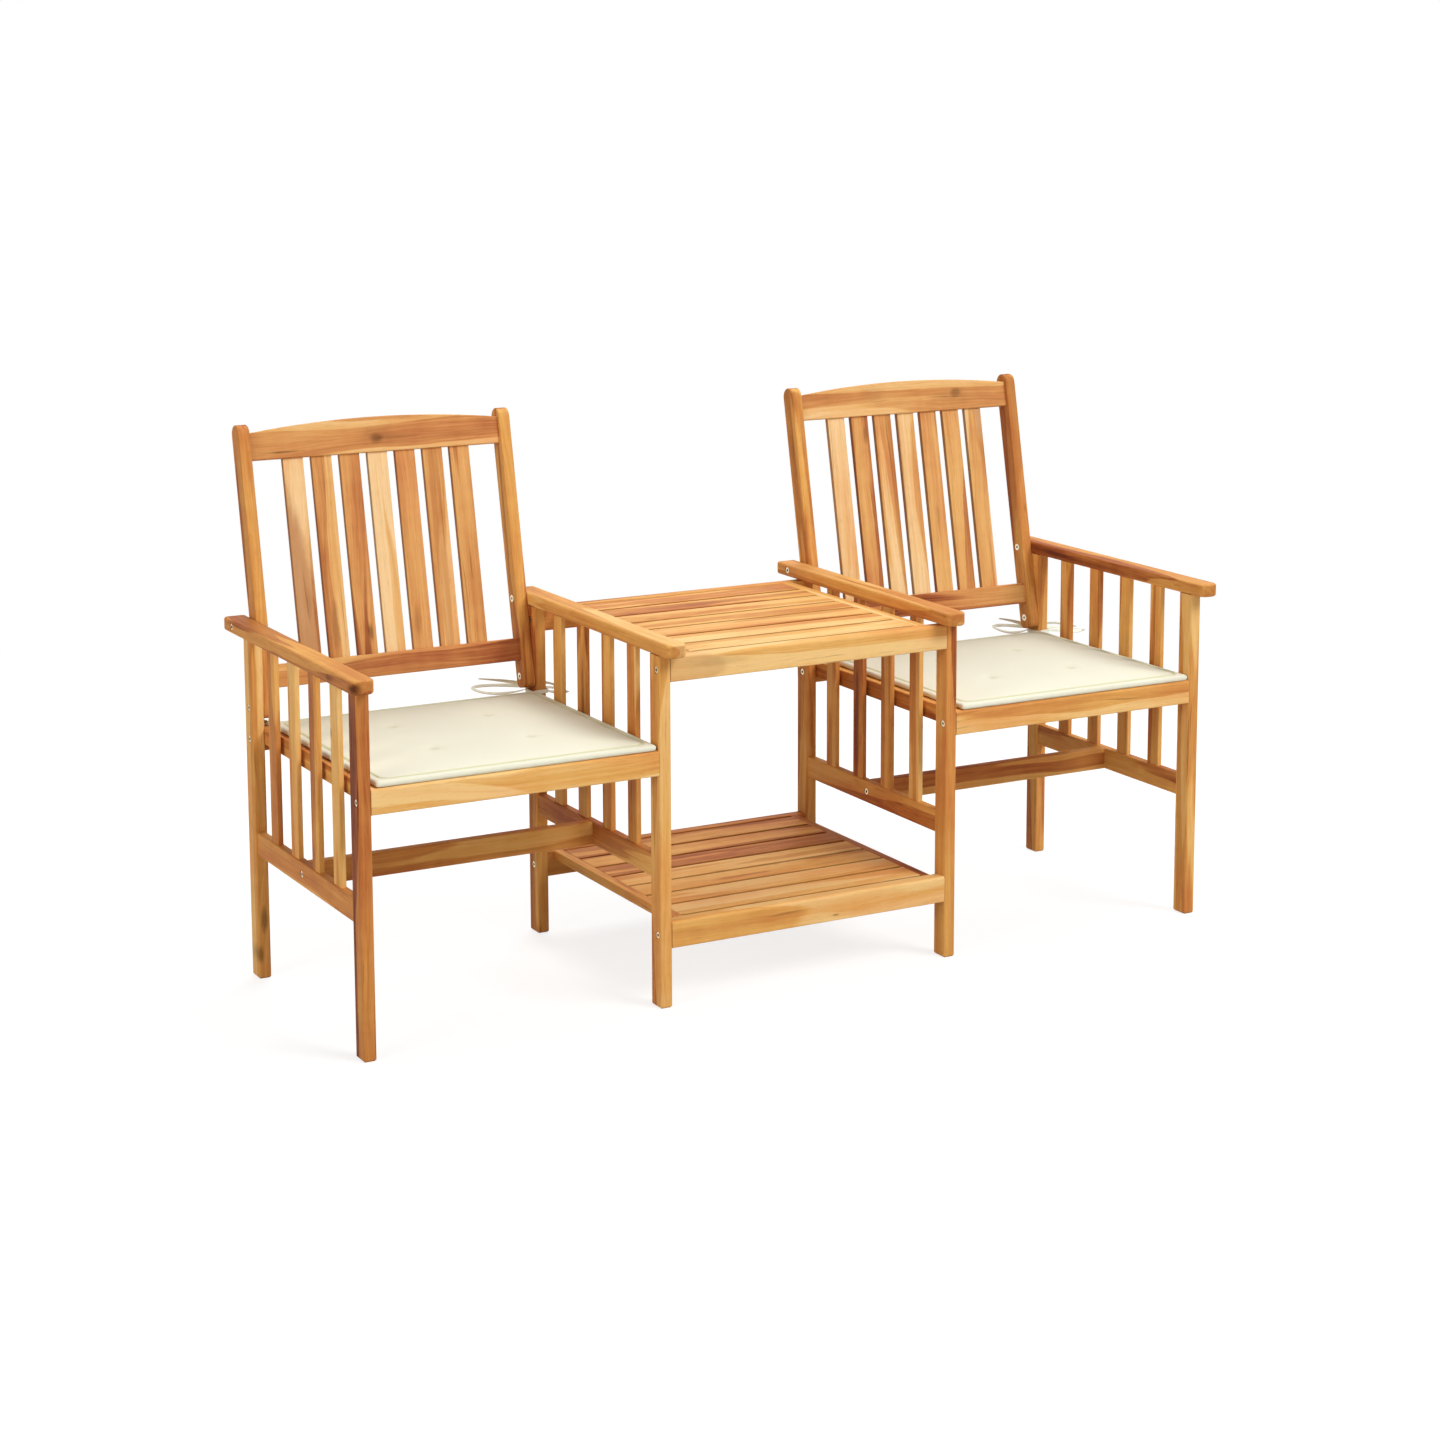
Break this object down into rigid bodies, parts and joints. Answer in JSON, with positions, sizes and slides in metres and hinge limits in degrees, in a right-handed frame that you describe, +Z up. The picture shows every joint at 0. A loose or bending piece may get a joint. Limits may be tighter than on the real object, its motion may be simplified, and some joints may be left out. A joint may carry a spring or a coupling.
{
  "type": "companion seat bench",
  "caption": "Slatted hardwood companion seat: armchairs with raked backs and tied seat pads, joined by a table top with a lower shelf.",
  "frame": {"origin": "on the floor, in the middle of the bench's outline", "axes": "+X to the right along the bench as seen by someone facing it, -Y to the front where the sitters face, +Z up"},
  "size_m": [1.696, 0.611, 0.9013],
  "materials": {
    "wood_frame": "oiled hardwood, satin, golden brown",
    "wood_slats": "oiled hardwood slats, satin, golden brown with strong variation from board to board",
    "bolt_metal": null,
    "pad_fabric": "woven polyester, cream, matt",
    "tie_fabric": "woven tape, cream, matt"
  },
  "bodies": {
    "bench": {"frame_bolts": "bolt_metal", "left_back_bottom_rail": "wood_frame", "left_back_inner_stile": "wood_frame", "left_back_outer_stile": "wood_frame", "left_back_slats": "wood_slats", "left_back_top_rail": "wood_frame", "left_chair_cross_bar": "wood_frame", "left_chair_inner_armrest": "wood_frame", "left_chair_inner_front_leg": "wood_frame", "left_chair_inner_rear_leg": "wood_frame", "left_chair_inner_side_rail": "wood_frame", "left_chair_inner_side_slats": "wood_slats", "left_chair_outer_armrest": "wood_frame", "left_chair_outer_front_leg": "wood_frame", "left_chair_outer_rear_leg": "wood_frame", "left_chair_outer_side_rail": "wood_frame", "left_chair_outer_side_slats": "wood_slats", "left_pad_inner_tie": "tie_fabric", "left_pad_outer_tie": "tie_fabric", "left_seat_front_apron": "wood_frame", "left_seat_left_side_piece": "wood_frame", "left_seat_rear_rail": "wood_frame", "left_seat_right_side_piece": "wood_frame", "left_seat_slats": "wood_slats", "right_back_bottom_rail": "wood_frame", "right_back_inner_stile": "wood_frame", "right_back_outer_stile": "wood_frame", "right_back_slats": "wood_slats", "right_back_top_rail": "wood_frame", "right_chair_cross_bar": "wood_frame", "right_chair_inner_armrest": "wood_frame", "right_chair_inner_front_leg": "wood_frame", "right_chair_inner_rear_leg": "wood_frame", "right_chair_inner_side_rail": "wood_frame", "right_chair_inner_side_slats": "wood_slats", "right_chair_outer_armrest": "wood_frame", "right_chair_outer_front_leg": "wood_frame", "right_chair_outer_rear_leg": "wood_frame", "right_chair_outer_side_rail": "wood_frame", "right_chair_outer_side_slats": "wood_slats", "right_pad_inner_tie": "tie_fabric", "right_pad_outer_tie": "tie_fabric", "right_seat_front_apron": "wood_frame", "right_seat_left_side_piece": "wood_frame", "right_seat_rear_rail": "wood_frame", "right_seat_right_side_piece": "wood_frame", "right_seat_slats": "wood_slats", "shelf_front_apron": "wood_frame", "shelf_left_side_piece": "wood_frame", "shelf_rear_rail": "wood_frame", "shelf_right_side_piece": "wood_frame", "shelf_slats": "wood_slats", "stile_nuts": "bolt_metal", "table_front_apron": "wood_frame", "table_left_side_piece": "wood_frame", "table_rear_rail": "wood_frame", "table_right_side_piece": "wood_frame", "table_slats": "wood_slats"},
    "left_pad": {"left_seat_pad": "pad_fabric"},
    "right_pad": {"right_seat_pad": "pad_fabric"}
  },
  "joints": [
    {"name": "left_pad_lift", "type": "hinge", "parent": "bench", "child": "left_pad", "pos_m": [-0.513, 0.178, 0.431], "axis": [-1, 0, 0], "range_deg": [0, 100]},
    {"name": "right_pad_lift", "type": "hinge", "parent": "bench", "child": "right_pad", "pos_m": [0.528, 0.178, 0.431], "axis": [-1, 0, 0], "range_deg": [0, 100]}
  ]
}
